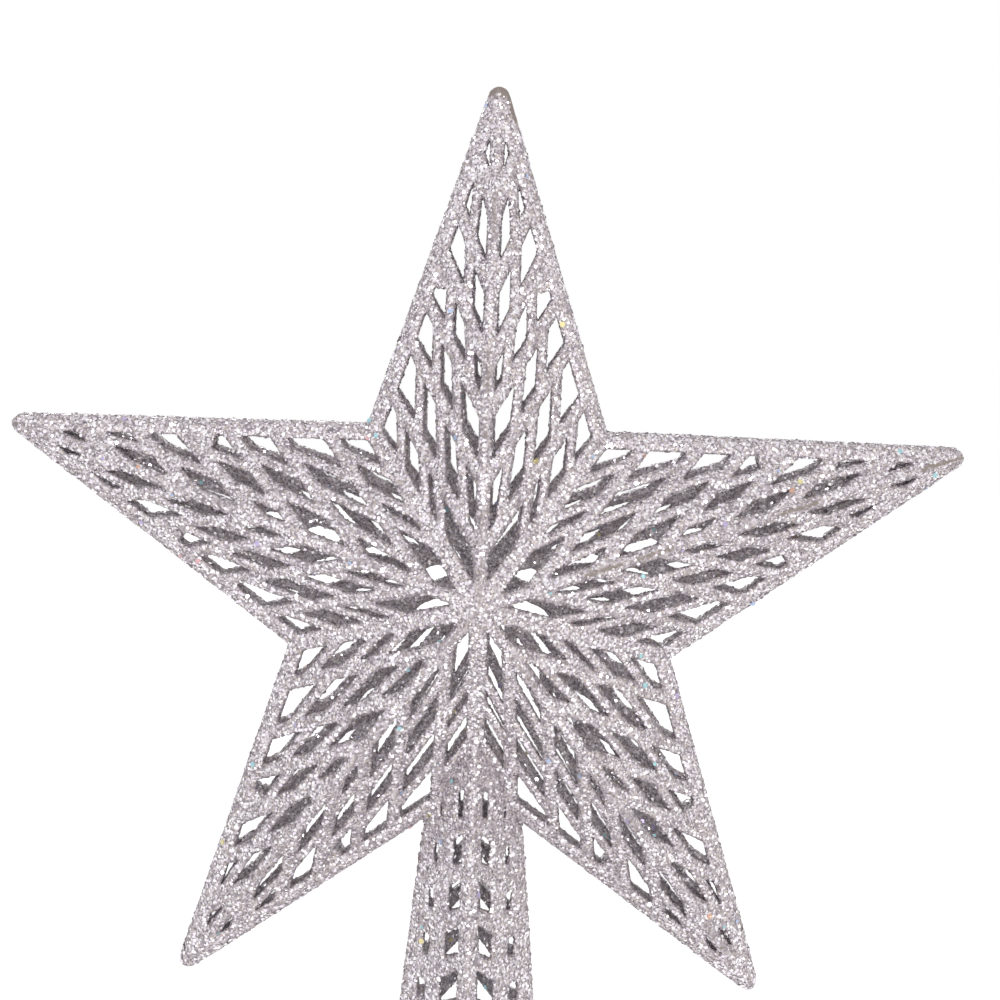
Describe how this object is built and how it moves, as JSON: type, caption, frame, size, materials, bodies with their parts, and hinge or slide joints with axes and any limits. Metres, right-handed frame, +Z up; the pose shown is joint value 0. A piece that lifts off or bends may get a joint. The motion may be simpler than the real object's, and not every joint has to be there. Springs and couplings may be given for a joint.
{
  "type": "tree topper star",
  "caption": "Openwork pointed star with faceted lattice shells front and rear, silver glitter finish, on a tapered socket that slips over a tree's top shoot.",
  "frame": {"origin": "centre of the socket's mouth", "axes": "+Z up the socket's axis to the top tip, -Y out of the front face, +X to the right seen from the front"},
  "size_m": [0.2008, 0.0486, 0.2255],
  "materials": {
    "glitter_plastic": "silver glitter stuck over grey-taupe moulded polystyrene"
  },
  "bodies": {
    "root": {"front_top_arm": "glitter_plastic", "front_right_arm": "glitter_plastic", "front_lower_right_arm": "glitter_plastic", "front_lower_left_arm": "glitter_plastic", "front_left_arm": "glitter_plastic", "rear_top_arm": "glitter_plastic", "rear_right_arm": "glitter_plastic", "rear_lower_right_arm": "glitter_plastic", "rear_lower_left_arm": "glitter_plastic", "rear_left_arm": "glitter_plastic", "front_socket_half": "glitter_plastic", "rear_socket_half": "glitter_plastic"}
  },
  "joints": []
}
